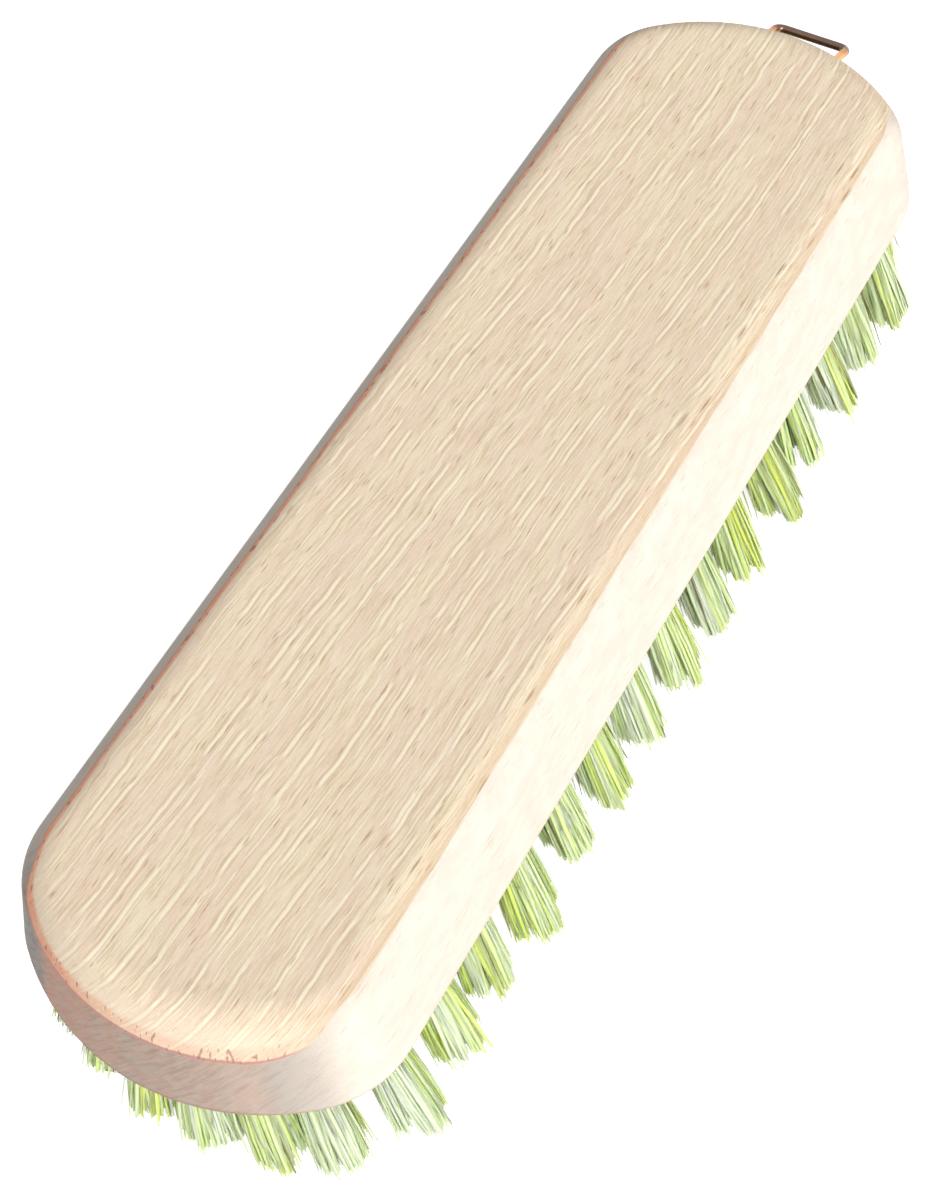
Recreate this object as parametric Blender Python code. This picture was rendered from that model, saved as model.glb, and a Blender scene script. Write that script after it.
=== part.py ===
"""A wooden shoe brush: a one-piece beech block, tufts of bristle set in drilled holes, and a wire hanging loop.

Metres, +Z up. The brush stands on its trimmed bristle tips at z = 0, with its length along X.
The hanging loop is at the +X end. The origin is under the middle of the whole brush.
"""

import math

import bmesh
import bpy
from mathutils import Matrix, Vector

# The block, measured over its underside, which is its widest part
BLOCK_LENGTH = 0.173
BLOCK_WIDTH = 0.0504
BLOCK_THICKNESS = 0.0148
CORNER_RADIUS = 0.0140
END_BULGE = 0.0041  # how far the middle of each end stands beyond its rounded corners
SIDE_DRAFT = 0.0030  # how far the sides lean in from the underside to the top
TOP_ROUND = 0.0043  # round-over of the top edge
BOTTOM_EASE = 0.0006  # sanded edge of the underside
ARC_STEPS = 7
TOP_ROUND_STEPS = 5
BOTTOM_EASE_STEPS = 2
HALF_LENGTH = BLOCK_LENGTH / 2
HALF_WIDTH = BLOCK_WIDTH / 2

# The tufts: bundles of bristle folded at the root, packed into a hole, fanned out and trimmed flat
BRISTLE_HEIGHT = 0.020  # from the underside of the block to the trimmed tips
TUFT_RADIUS = 0.0021
TUFT_DEPTH = 0.0062
TUFT_PITCH = 0.0095
END_PITCH = 0.0056  # between the tufts of the outer row where it runs round the ends
ROW_SPACING = 0.0092
EDGE_MARGIN = 0.0068  # from the block's edge to the middle of the outer row
SIDE_FLARE = 0.0062  # how far the tips of the outer row stand out from their roots, across the brush
END_FLARE = 0.0024  # the same along the brush, at its ends
FOLD_LENGTH = 0.0018
FOLD_PINCH = 0.35  # the folded end's thickness, as a share of the bundle's
ROOT_PROUD = 0.0006  # how far a bundle stands out of its hole before it parts into strands
STRANDS = 5
STRAND_GAP = 0.00016  # drawn off every side of a strand at its root, so that no two touch
TIP_SPREAD = 0.0026  # from the middle of a tuft to the middles of its strands, at the trim
TIP_GROWTH = 1.1  # how much thicker a strand is at its tip than at its root
FIT_GAP = 0.0003  # between a piece and the hole or groove that it sits in
HOLE_SIDES = 8
ROW_CORNER = 0.0046  # the tightest bend of a row
ROW_PATH_STEPS = 24  # how finely the arcs are drawn that the rows follow

# The slices of backing that join the inner tufts, let into grooves of the underside
SLICE_TUFTS = 6
SLICE_WIDTH = 0.0032
SLICE_THICKNESS = 0.0010
LINK_START = 0.75  # where a bar starts inside the bundle that it joins, as a share of the bundle's radius

# The hanging loop: one bent wire. It hangs down a little, so its legs slope up over the tuft holes
WIRE_DIAMETER = 0.00125
LOOP_WIDTH = 0.0112  # between the middles of the legs
LOOP_REACH = 0.0088  # from the block's end to the middle of the bar
LOOP_CORNER = 0.0013
LOOP_DROOP = math.radians(22)
LEG_DEPTH = 0.0105
LOOP_BEND_STEPS = 5
LEG_HOLE_SIDES = 12
WIRE_ROUND_STEPS = 3

CUT_OVERRUN = 0.001  # how far a cutter runs out of the wood
SHARP_ANGLE = math.radians(35)  # faces that meet at more than this show a crisp edge

HOLE_DEPTH = TUFT_DEPTH + FIT_GAP
HOLE_RADIUS = (TUFT_RADIUS + FIT_GAP) / math.cos(math.pi / HOLE_SIDES)
UNDERSIDE = BRISTLE_HEIGHT
LEG_HOLE_RADIUS = (WIRE_DIAMETER / 2 + FIT_GAP) / math.cos(math.pi / LEG_HOLE_SIDES)
LEG_RISE = BLOCK_THICKNESS / 2  # from the underside to where the wire enters the end
END_FACE = HALF_LENGTH - SIDE_DRAFT * LEG_RISE / BLOCK_THICKNESS  # the block's end at that height
LOOP_END = END_FACE + LOOP_REACH * math.cos(LOOP_DROOP) + WIRE_DIAMETER / 2
BLOCK_CENTRE = (HALF_LENGTH - LOOP_END) / 2


def clear_scene():
    for old in list(bpy.data.objects):
        bpy.data.objects.remove(old, do_unlink=True)


def finish(name, colour, roughness, metallic=0.0):
    material = bpy.data.materials.new(name)
    material.use_nodes = True
    shader = material.node_tree.nodes["Principled BSDF"]
    shader.inputs["Base Color"].default_value = (*colour, 1.0)
    shader.inputs["Roughness"].default_value = roughness
    shader.inputs["Metallic"].default_value = metallic
    material.diffuse_color = (*colour, 1.0)
    return material


def place_object(name, data, parent, material):
    piece = bpy.data.objects.new(name, data)
    bpy.context.scene.collection.objects.link(piece)
    piece.parent = parent
    data.materials.append(material)
    return piece


def solid(name, shape, parent, material):
    """Turns the bmesh into a named object whose faces point outwards."""
    bmesh.ops.recalc_face_normals(shape, faces=shape.faces)
    mesh = bpy.data.meshes.new(name)
    shape.to_mesh(mesh)
    shape.free()
    mesh.shade_smooth()
    mesh.set_sharp_from_angle(angle=SHARP_ANGLE)
    return place_object(name, mesh, parent, material)


def helper(name, shape, parent, material):
    """A shape that only cuts or joins another piece."""
    piece = solid(name, shape, parent, material)
    piece.hide_render = True
    piece.display_type = "WIRE"
    return piece


def boolean(piece, operation, tool):
    modifier = piece.modifiers.new(tool.name, "BOOLEAN")
    modifier.operation = operation
    modifier.solver = "EXACT"
    modifier.object = tool


def arc_angles(start, end, steps):
    return [start + (end - start) * step / steps for step in range(steps + 1)]


def plan_outline(inset, steps=ARC_STEPS):
    """The block's outline seen from above, drawn in by inset, anticlockwise from the middle of the far end.

    Each end is one wide arc that runs smoothly into two corner arcs, and the sides are straight.
    """
    half_length = HALF_LENGTH - inset
    half_width = HALF_WIDTH - inset
    corner = max(CORNER_RADIUS - inset, ROW_CORNER)
    corner_x = half_length - corner - END_BULGE
    corner_y = half_width - corner
    end = corner + END_BULGE / 2 + corner_y ** 2 / (2 * END_BULGE)
    end_x = half_length - end
    join = math.atan2(corner_y, corner_x - end_x)
    quarter = [
        Vector((end_x + end * math.cos(angle), end * math.sin(angle)))
        for angle in arc_angles(0.0, join, steps)
    ]
    quarter += [
        Vector((corner_x + corner * math.cos(angle), corner_y + corner * math.sin(angle)))
        for angle in arc_angles(join, math.pi / 2, steps)[1:]
    ]
    half = quarter + [Vector((-point.x, point.y)) for point in reversed(quarter)]
    return half + [Vector((point.x, -point.y)) for point in reversed(half[1:-1])]


def ring_places(path, end_pitch, extra):
    """Points along a closed path, half a step off its start.

    A step is TUFT_PITCH where the path runs along the brush and end_pitch where it runs across. The count is
    a multiple of four plus extra, so both halves of the brush are alike.
    """
    runs = [end - start for start, end in zip(path, path[1:] + path[:1])]
    steps = [run.length / (TUFT_PITCH + (end_pitch - TUFT_PITCH) * run.normalized().y ** 2) for run in runs]
    count = 4 * round((sum(steps) - extra) / 4) + extra
    step = sum(steps) / count
    places = []
    walked = 0.0
    for start, run, length in zip(path, runs, steps):
        while len(places) < count and (len(places) + 0.5) * step <= walked + length:
            places.append(start + run * ((len(places) + 0.5) * step - walked) / length)
        walked += length
    return places


def tuft_rows():
    """The root places of all tufts, as rings from the edge inwards and a middle row, staggered by half a step."""
    rings = max(1, round((HALF_WIDTH - EDGE_MARGIN) / ROW_SPACING))
    step = (HALF_WIDTH - EDGE_MARGIN) / rings
    rows = []
    for ring in range(rings):
        path = plan_outline(EDGE_MARGIN + ring * step, ROW_PATH_STEPS)
        end_pitch = TUFT_PITCH if ring else END_PITCH
        extra = 2 * ((ring + 1) % 2)  # with two more, a tuft stands at the middle of each side
        rows.append(ring_places(path, end_pitch, extra))
    reach = HALF_LENGTH - HALF_WIDTH
    offset = 0.5 * (rings % 2)
    most = math.floor(reach / TUFT_PITCH - offset)
    first = -most if rings % 2 == 0 else -most - 1
    rows.append([Vector(((index + offset) * TUFT_PITCH, 0.0)) for index in range(first, most + 1)])
    return rows


def tip_centre(root):
    """Where the tuft that is rooted here meets the trim: the nearer the edge, the more it leans out."""
    along = root.x / (HALF_LENGTH - EDGE_MARGIN) * END_FLARE
    across = root.y / (HALF_WIDTH - EDGE_MARGIN) * SIDE_FLARE
    return Vector((root.x + along, root.y + across, 0.0))


def hole_frame(root):
    """The hole's own frame: its origin on the underside, its +Z up the hole, tilted to the tuft's lean."""
    mouth = Vector((root.x, root.y, UNDERSIDE))
    turn = Vector((0.0, 0.0, 1.0)).rotation_difference(mouth - tip_centre(root))
    return Matrix.Translation(mouth) @ turn.to_matrix().to_4x4()


def add_prism(shape, sides, radius, low, high, frame):
    lift = Matrix.Translation((0.0, 0.0, (low + high) / 2))
    made = bmesh.ops.create_cone(
        shape, cap_ends=True, segments=sides, radius1=radius, radius2=radius, depth=high - low, matrix=frame @ lift
    )
    return {face for vert in made["verts"] for face in vert.link_faces}


def add_tuft(shape, root):
    """One tuft: a bundle packed in its hole, pinched flat at the fold, with its strands fanned out to the trim."""
    frame = hole_frame(root)
    into_hole = frame.inverted()
    faces = add_prism(shape, STRANDS, TUFT_RADIUS, -ROOT_PROUD, TUFT_DEPTH - FOLD_LENGTH, frame)
    inner = max(faces, key=lambda face: (into_hole @ face.calc_center_median()).z)
    outer = min(faces, key=lambda face: (into_hole @ face.calc_center_median()).z)

    crown = bmesh.ops.extrude_discrete_faces(shape, faces=[inner])["faces"][0]
    bmesh.ops.translate(shape, verts=crown.verts, vec=frame.to_3x3() @ Vector((0.0, 0.0, FOLD_LENGTH)))
    bmesh.ops.scale(shape, verts=crown.verts, vec=(1.0, FOLD_PINCH, 1.0), space=into_hole)

    wedges = bmesh.ops.poke(shape, faces=[outer])["faces"]
    bmesh.ops.inset_individual(shape, faces=wedges, thickness=STRAND_GAP)
    tips = bmesh.ops.extrude_discrete_faces(shape, faces=wedges)["faces"]
    for tip in tips:
        middle = into_hole @ tip.calc_center_median()
        outward = Vector((middle.x, middle.y, 0.0)).normalized()
        target = tip_centre(root) + outward * TIP_SPREAD
        for vert in tip.verts:
            offset = (into_hole @ vert.co - middle) * TIP_GROWTH
            vert.co = target + Vector((offset.x, offset.y, 0.0))


def add_link(shape, start, end, width, low, high):
    """A bar of backing between two roots. It stops short of their middles, inside the bundles that it joins."""
    run = (end - start).normalized()
    start = start + run * TUFT_RADIUS * LINK_START
    end = end - run * TUFT_RADIUS * LINK_START
    middle = (start + end) / 2
    turn = Matrix.Rotation(math.atan2(run.y, run.x), 4, "Z")
    size = Matrix.Diagonal(((end - start).length, width, high - low, 1.0))
    move = Matrix.Translation((middle.x, middle.y, UNDERSIDE + (low + high) / 2))
    bmesh.ops.create_cube(shape, size=1.0, matrix=move @ turn @ size)


def split_row(row, most):
    """Cuts a row into runs of neighbours, as even as can be, with no more than most in each."""
    runs = math.ceil(len(row) / most)
    cuts = [round(len(row) * run / runs) for run in range(runs + 1)]
    return [row[low:high] for low, high in zip(cuts, cuts[1:])]


def block_blank(parent, wood):
    """The block before drilling: tapered sides, a rounded top edge and an eased lower one."""
    shape = bmesh.new()
    lower = [shape.verts.new((point.x, point.y, UNDERSIDE)) for point in plan_outline(0.0)]
    upper = [shape.verts.new((point.x, point.y, UNDERSIDE + BLOCK_THICKNESS)) for point in plan_outline(SIDE_DRAFT)]
    bottom = shape.faces.new(lower)
    top = shape.faces.new(upper)
    bmesh.ops.bridge_loops(shape, edges=[*bottom.edges, *top.edges])
    bmesh.ops.recalc_face_normals(shape, faces=shape.faces)
    bmesh.ops.bevel(
        shape, geom=list(top.edges), offset=TOP_ROUND, segments=TOP_ROUND_STEPS, profile=0.5, affect="EDGES"
    )
    lowest = min(vert.co.z for vert in shape.verts)
    lower_rim = [edge for edge in shape.edges if all(vert.co.z == lowest for vert in edge.verts)]
    bmesh.ops.bevel(
        shape, geom=lower_rim, offset=BOTTOM_EASE, segments=BOTTOM_EASE_STEPS, profile=0.5, affect="EDGES"
    )
    return solid("wooden_block", shape, parent, wood)


def tuft_holes(rows, parent, material):
    shape = bmesh.new()
    for root in (root for row in rows for root in row):
        add_prism(shape, HOLE_SIDES, HOLE_RADIUS, -2 * CUT_OVERRUN, HOLE_DEPTH, hole_frame(root))
    return helper("tuft_holes", shape, parent, material)


def slice_grooves(runs, parent, material):
    shape = bmesh.new()
    for run in runs:
        for start, end in zip(run, run[1:]):
            add_link(shape, start, end, SLICE_WIDTH + 2 * FIT_GAP, -CUT_OVERRUN, SLICE_THICKNESS + FIT_GAP)
    return helper("slice_grooves", shape, parent, material)


def loop_frame():
    """The wire's own frame: its origin where the legs enter the end, its +X out along them, drooping a little."""
    mouth = Matrix.Translation((END_FACE, 0.0, UNDERSIDE + LEG_RISE))
    return mouth @ Matrix.Rotation(LOOP_DROOP, 4, "Y")


def leg_holes(parent, material):
    shape = bmesh.new()
    for side in (-1, 1):
        leg = Matrix.Translation((0.0, side * LOOP_WIDTH / 2, 0.0)) @ Matrix.Rotation(math.pi / 2, 4, "Y")
        frame = loop_frame() @ leg
        add_prism(shape, LEG_HOLE_SIDES, LEG_HOLE_RADIUS, -LEG_DEPTH - FIT_GAP, 2 * CUT_OVERRUN, frame)
    return helper("leg_holes", shape, parent, material)


def edge_tuft(number, root, parent, bristle):
    shape = bmesh.new()
    add_tuft(shape, root)
    return solid(f"edge_tuft_{number:02d}", shape, parent, bristle)


def tuft_row(name, run, parent, bristle):
    """Inner tufts that share a slice of backing, joined to it into one piece."""
    tufts = bmesh.new()
    for root in run:
        add_tuft(tufts, root)
    row = solid(name, tufts, parent, bristle)
    links = bmesh.new()
    for start, end in zip(run, run[1:]):
        add_link(links, start, end, SLICE_WIDTH, 0.0, SLICE_THICKNESS)
    boolean(row, "UNION", helper(f"{name}_slice", links, parent, bristle))
    return row


def hanging_loop(parent, wire):
    """One round wire: in through a leg, round two bends and back down the other leg."""
    half = LOOP_WIDTH / 2
    bend_x = LOOP_REACH - LOOP_CORNER
    bend_y = half - LOOP_CORNER
    bend = [
        Vector((bend_x + LOOP_CORNER * math.cos(angle), bend_y + LOOP_CORNER * math.sin(angle), 0.0))
        for angle in arc_angles(math.pi / 2, 0.0, LOOP_BEND_STEPS)
    ]
    side = [Vector((-LEG_DEPTH, half, 0.0)), *bend]
    route = side + [Vector((point.x, -point.y, 0.0)) for point in reversed(side)]
    curve = bpy.data.curves.new("hanging_loop", "CURVE")
    curve.dimensions = "3D"
    curve.bevel_depth = WIRE_DIAMETER / 2
    curve.bevel_resolution = WIRE_ROUND_STEPS
    curve.use_fill_caps = True
    spline = curve.splines.new("POLY")
    spline.points.add(len(route) - 1)
    for point, corner in zip(spline.points, route):
        point.co = (*(loop_frame() @ corner), 1.0)
    spline.use_smooth = True
    return place_object("hanging_loop", curve, parent, wire)


def main():
    clear_scene()
    beech = finish("beech", (0.62, 0.43, 0.26), 0.5)
    bristle = finish("bristle", (0.55, 0.72, 0.26), 0.45)
    wire = finish("copper wire", (0.55, 0.30, 0.14), 0.3, 1.0)
    cutter = finish("cutter", (0.8, 0.2, 0.2), 0.5)

    brush = bpy.data.objects.new("brush", None)
    bpy.context.scene.collection.objects.link(brush)
    brush.location = (BLOCK_CENTRE, 0.0, 0.0)

    rows = tuft_rows()
    runs = [run for row in rows[1:] for run in split_row(row, SLICE_TUFTS)]
    block = block_blank(brush, beech)
    boolean(block, "DIFFERENCE", slice_grooves(runs, brush, cutter))
    boolean(block, "DIFFERENCE", tuft_holes(rows, brush, cutter))
    boolean(block, "DIFFERENCE", leg_holes(brush, cutter))

    for number, root in enumerate(rows[0], start=1):
        edge_tuft(number, root, brush, bristle)
    for number, run in enumerate(runs, start=1):
        tuft_row(f"tuft_row_{number:02d}", run, brush, bristle)
    hanging_loop(brush, wire)


main()
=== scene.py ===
# %% [markdown]
# A wooden shoe brush
#
# The real brush is one block of pale beech, turned over to show its smooth top. Its underside is drilled
# with rows of slanting holes, and a tuft of stiff plant fibre is folded into each. A bent copper wire in the
# far end hangs it on a hook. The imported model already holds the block, the tufts and the wire at their real
# sizes, so this lesson starts from it and works on what the eye sees: edges, grain, bristles and light.

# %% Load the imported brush
import math

import bpy
import numpy as np
from mathutils import Matrix, Vector


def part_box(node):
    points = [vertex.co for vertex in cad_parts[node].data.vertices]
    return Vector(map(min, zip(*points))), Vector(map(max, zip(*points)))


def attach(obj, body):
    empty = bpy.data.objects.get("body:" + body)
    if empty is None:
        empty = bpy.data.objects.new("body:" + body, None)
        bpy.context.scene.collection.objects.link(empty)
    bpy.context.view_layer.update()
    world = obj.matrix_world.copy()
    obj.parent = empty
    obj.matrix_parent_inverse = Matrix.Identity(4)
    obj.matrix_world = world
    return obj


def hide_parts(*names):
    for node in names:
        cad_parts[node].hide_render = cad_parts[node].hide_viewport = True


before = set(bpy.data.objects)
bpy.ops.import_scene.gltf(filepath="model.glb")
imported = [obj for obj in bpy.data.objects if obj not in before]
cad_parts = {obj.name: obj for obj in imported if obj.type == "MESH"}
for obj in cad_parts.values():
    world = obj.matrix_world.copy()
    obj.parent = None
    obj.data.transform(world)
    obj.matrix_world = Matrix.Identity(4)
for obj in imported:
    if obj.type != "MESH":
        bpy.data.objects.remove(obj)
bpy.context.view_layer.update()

print("packed nodes:", len(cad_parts))

# %% [markdown]
# Sizes
#
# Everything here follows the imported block: its box gives the length, width and thickness, and the rows of
# tufts are worked out from those with the same few distances that a brush maker sets on the drill. All
# lengths are in metres, with the block's length along X and its top facing +Z.

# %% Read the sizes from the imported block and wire
block_low, block_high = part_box("wooden_block")
BLOCK_CENTRE = (block_low.x + block_high.x) / 2
HALF_LENGTH = (block_high.x - block_low.x) / 2
HALF_WIDTH = (block_high.y - block_low.y) / 2
UNDERSIDE = block_low.z
TOP = block_high.z

CORNER_RADIUS = 0.0140
END_BULGE = 0.0041
SIDE_DRAFT = 0.0030
EDGE_MARGIN = 0.0068
TUFT_PITCH = 0.0095
END_PITCH = 0.0056
ROW_SPACING = 0.0092
ROW_CORNER = 0.0046
SIDE_FLARE = 0.0062
END_FLARE = 0.0024
print(f"block {2000 * HALF_LENGTH:.1f} x {2000 * HALF_WIDTH:.1f} x {1000 * (TOP - UNDERSIDE):.1f} mm")

# %% [markdown]
# The plan outline
#
# Seen from above, each end of the block is one wide arc that runs into two corner arcs, and the sides are
# straight. The same outline, drawn in by a margin, guides the rings of tuft holes, so it is a function.

# %% Draw the outline with arcs
def arc_angles(start, end, steps):
    return [start + (end - start) * step / steps for step in range(steps + 1)]


def plan_outline(inset, steps):
    """The block's outline drawn in by inset, about its middle, anticlockwise from the far end's middle."""
    half_length = HALF_LENGTH - inset
    half_width = HALF_WIDTH - inset
    corner = max(CORNER_RADIUS - inset, ROW_CORNER)
    corner_x = half_length - corner - END_BULGE
    corner_y = half_width - corner
    end = corner + END_BULGE / 2 + corner_y ** 2 / (2 * END_BULGE)
    end_x = half_length - end
    join = math.atan2(corner_y, corner_x - end_x)
    quarter = [
        Vector((end_x + end * math.cos(angle), end * math.sin(angle)))
        for angle in arc_angles(0.0, join, steps)
    ]
    quarter += [
        Vector((corner_x + corner * math.cos(angle), corner_y + corner * math.sin(angle)))
        for angle in arc_angles(join, math.pi / 2, steps)[1:]
    ]
    half = quarter + [Vector((-point.x, point.y)) for point in reversed(quarter)]
    return half + [Vector((point.x, -point.y)) for point in reversed(half[1:-1])]


print(f"the ends bulge {1000 * END_BULGE:.1f} mm between corners of {1000 * CORNER_RADIUS:.0f} mm")

# %% [markdown]
# Where the tufts stand
#
# A drilling machine steps round the edge, then round a smaller ring, then along the middle. At the edge the
# tufts stand closer round the ends, and they lean out, so that the brush reaches into the welt of a shoe.

# %% Lay out the rows of tufts
ROW_STEPS = 24


def ring_places(path, end_pitch, extra):
    """Points along a closed path, half a step off its start, closer where it runs across the brush."""
    runs = [end - start for start, end in zip(path, path[1:] + path[:1])]
    steps = [run.length / (TUFT_PITCH + (end_pitch - TUFT_PITCH) * run.normalized().y ** 2) for run in runs]
    count = 4 * round((sum(steps) - extra) / 4) + extra
    step = sum(steps) / count
    places = []
    walked = 0.0
    for start, run, length in zip(path, runs, steps):
        while len(places) < count and (len(places) + 0.5) * step <= walked + length:
            places.append(start + run * ((len(places) + 0.5) * step - walked) / length)
        walked += length
    return places


def tuft_rows():
    """The roots of all tufts, as rings from the edge inwards and a middle row, staggered by half a step."""
    rings = max(1, round((HALF_WIDTH - EDGE_MARGIN) / ROW_SPACING))
    step = (HALF_WIDTH - EDGE_MARGIN) / rings
    rows = []
    for ring in range(rings):
        path = plan_outline(EDGE_MARGIN + ring * step, ROW_STEPS)
        end_pitch = TUFT_PITCH if ring else END_PITCH
        rows.append(ring_places(path, end_pitch, 2 * ((ring + 1) % 2)))
    reach = HALF_LENGTH - HALF_WIDTH
    offset = 0.5 * (rings % 2)
    most = math.floor(reach / TUFT_PITCH - offset)
    first = -most if rings % 2 == 0 else -most - 1
    rows.append([Vector(((index + offset) * TUFT_PITCH, 0.0)) for index in range(first, most + 1)])
    return rows


def tip_centre(root):
    along = root.x / (HALF_LENGTH - EDGE_MARGIN) * END_FLARE
    across = root.y / (HALF_WIDTH - EDGE_MARGIN) * SIDE_FLARE
    return Vector((root.x + along, root.y + across, 0.0))


edge_row, inner_row, middle_row = tuft_rows()
print("tufts:", len(edge_row), "at the edge,", len(inner_row), "inside,", len(middle_row), "in the middle")

# %% [markdown]
# Three small helpers for modelling
#
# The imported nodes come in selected, and an operator acts on all that is selected, so each piece starts from
# an empty selection. A finished piece has its place in its mesh, with its object at the origin. Points are
# picked by a test on where they are.

# %% Start, settle and pick
def start_fresh():
    if bpy.context.mode != "OBJECT":
        bpy.ops.object.mode_set(mode="OBJECT")
    bpy.ops.object.select_all(action="DESELECT")


def settle(piece, name):
    """Names the piece and puts its place, turn and size into its mesh."""
    start_fresh()
    piece.name = name
    piece.data.name = name
    piece.select_set(True)
    bpy.context.view_layer.objects.active = piece
    bpy.ops.object.transform_apply(location=True, rotation=True, scale=True)
    print(f"{name}: {len(piece.data.vertices)} points, {len(piece.data.polygons)} faces")


def pick_edges(piece, test):
    """In edit mode, selects just the edges whose two ends both pass the test."""
    bpy.ops.mesh.select_mode(type="VERT")
    bpy.ops.mesh.select_all(action="DESELECT")
    bpy.ops.object.mode_set(mode="OBJECT")
    for vert in piece.data.vertices:
        vert.select = test(vert.co)
    bpy.ops.object.mode_set(mode="EDIT")


# %% [markdown]
# The block's blank
#
# A shaper cuts the block to its outline, and a cutter rounds the top edge. So the blank is two rings on the
# outline, the upper one drawn in a little, bridged into a wall and filled at both ends. A wide bevel is the
# round-over, and a small one is the sanded lower edge. A thin inset inside each bevel and a cut through the
# wall beside it keep the flats flat where the shading is smooth.

# %% Bridge two rings and round the edges
OUTLINE_STEPS = 12
TOP_ROUND = 0.0043
TOP_FACETS = 9
BOTTOM_EASE = 0.0006
BOTTOM_FACETS = 3
GUARD = 0.0003
NEAR = 1e-5


def outline_ring(inset, height):
    outline = plan_outline(inset, OUTLINE_STEPS)
    bpy.ops.mesh.primitive_circle_add(vertices=len(outline), radius=HALF_WIDTH, location=(0.0, 0.0, 0.0))
    ring = bpy.context.object
    for vert, point in zip(ring.data.vertices, outline):
        vert.co = (point.x + BLOCK_CENTRE, point.y, height)
    return ring


def block_blank():
    start_fresh()
    lower = outline_ring(0.0, UNDERSIDE)
    upper = outline_ring(SIDE_DRAFT, TOP)
    lower.select_set(True)
    bpy.ops.object.join()
    block = bpy.context.object
    bpy.ops.object.mode_set(mode="EDIT")
    bpy.ops.mesh.select_all(action="SELECT")
    bpy.ops.mesh.bridge_edge_loops()
    for height, width, facets in ((TOP, TOP_ROUND, TOP_FACETS), (UNDERSIDE, BOTTOM_EASE, BOTTOM_FACETS)):
        pick_edges(block, lambda place: abs(place.z - height) < NEAR)
        bpy.ops.mesh.edge_face_add()
        bpy.ops.mesh.bevel(offset=width, segments=facets, profile=0.5, affect="EDGES")
        pick_edges(block, lambda place: abs(place.z - height) < NEAR)
        bpy.ops.mesh.inset(thickness=GUARD)
    for height in (TOP - TOP_ROUND - GUARD, UNDERSIDE + BOTTOM_EASE + GUARD):
        bpy.ops.mesh.select_all(action="SELECT")
        bpy.ops.mesh.bisect(plane_co=(0.0, 0.0, height), plane_no=(0.0, 0.0, 1.0))
    bpy.ops.mesh.select_all(action="SELECT")
    bpy.ops.mesh.normals_make_consistent(inside=False)
    settle(block, "beech_block")
    return block


block = block_blank()

# %% [markdown]
# Drilling the holes
#
# Each tuft hole is drilled at the slant of its tuft. One round cutter is modelled and copied to every place,
# all the copies are joined, and a single Boolean takes them out of the block. The two holes for the wire are
# cut in the same way into the far end. They slope up, over the tuft holes, so the wire has its own frame.

# %% Cut the tuft holes and the wire's holes
HOLE_RADIUS = 0.0024
HOLE_DEPTH = 0.0065
HOLE_SIDES = 24
OVERRUN = 0.001
WIRE_RADIUS = 0.000625
WIRE_SIDES = 20
WIRE_FIT = 0.0001
LEG_SIDE = 0.0056
LEG_DEPTH = 0.0105
LOOP_REACH = 0.0088
LOOP_DROOP = math.radians(22)
WIRE_MOUTH = Vector((BLOCK_CENTRE + HALF_LENGTH - SIDE_DRAFT / 2, 0.0, (UNDERSIDE + TOP) / 2))
WIRE_FRAME = Matrix.Translation(WIRE_MOUTH) @ Matrix.Rotation(LOOP_DROOP, 4, "Y")
BLOCK_SMOOTH = math.radians(30)


def drill(radius, start, end, sides):
    """A cutter from start to end, two points in the block's place."""
    bpy.ops.mesh.primitive_cylinder_add(vertices=sides, radius=radius, depth=(end - start).length)
    cutter = bpy.context.object
    turn = Vector((0.0, 0.0, 1.0)).rotation_difference(end - start)
    cutter.data.transform(Matrix.Translation((start + end) / 2) @ turn.to_matrix().to_4x4())
    return cutter


def tuft_axis(root):
    """The mouth of the tuft's hole, and the direction from there up into the wood."""
    mouth = Vector((root.x, root.y, UNDERSIDE))
    return mouth, (mouth - tip_centre(root)).normalized()


def all_cutters():
    cutters = []
    shift = Vector((BLOCK_CENTRE, 0.0, 0.0))
    for root in edge_row + inner_row + middle_row:
        mouth, up = tuft_axis(root)
        start = mouth + shift - 2 * OVERRUN * up
        end = mouth + shift + HOLE_DEPTH * up
        cutters.append(drill(HOLE_RADIUS, start, end, HOLE_SIDES))
    for side in (-LEG_SIDE, LEG_SIDE):
        inner = WIRE_FRAME @ Vector((-LEG_DEPTH - WIRE_FIT, side, 0.0))
        outer = WIRE_FRAME @ Vector((2 * OVERRUN, side, 0.0))
        cutters.append(drill(WIRE_RADIUS + WIRE_FIT, inner, outer, WIRE_SIDES))
    return cutters


def cut_holes(block):
    start_fresh()
    cutters = all_cutters()
    for cutter in cutters:
        cutter.select_set(True)
    bpy.context.view_layer.objects.active = cutters[0]
    bpy.ops.object.join()
    cutter = bpy.context.object
    start_fresh()
    block.select_set(True)
    bpy.context.view_layer.objects.active = block
    holes = block.modifiers.new("holes", "BOOLEAN")
    holes.operation = "DIFFERENCE"
    holes.solver = "EXACT"
    holes.object = cutter
    bpy.ops.object.modifier_apply(modifier=holes.name)
    bpy.data.objects.remove(cutter, do_unlink=True)
    bpy.ops.object.shade_smooth_by_angle(angle=BLOCK_SMOOTH)
    print("block with its holes:", len(block.data.polygons), "faces")


cut_holes(block)

# %% [markdown]
# Small helpers for node materials
#
# A material is a chain of nodes. These helpers keep each link on one line: a number sets a socket, and a
# socket is linked to it. Colours are written as on a screen, from 0 to 255, and turned into linear light.

# %% Add, link and place nodes
MM = 0.001


def screen_colour(red, green, blue):
    linear = []
    for value in (red / 255, green / 255, blue / 255):
        linear.append(value / 12.92 if value <= 0.04045 else ((value + 0.055) / 1.055) ** 2.4)
    return (*linear, 1.0)


def feed(tree, socket, value):
    if isinstance(value, bpy.types.NodeSocket):
        tree.links.new(value, socket)
    else:
        socket.default_value = value


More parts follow.
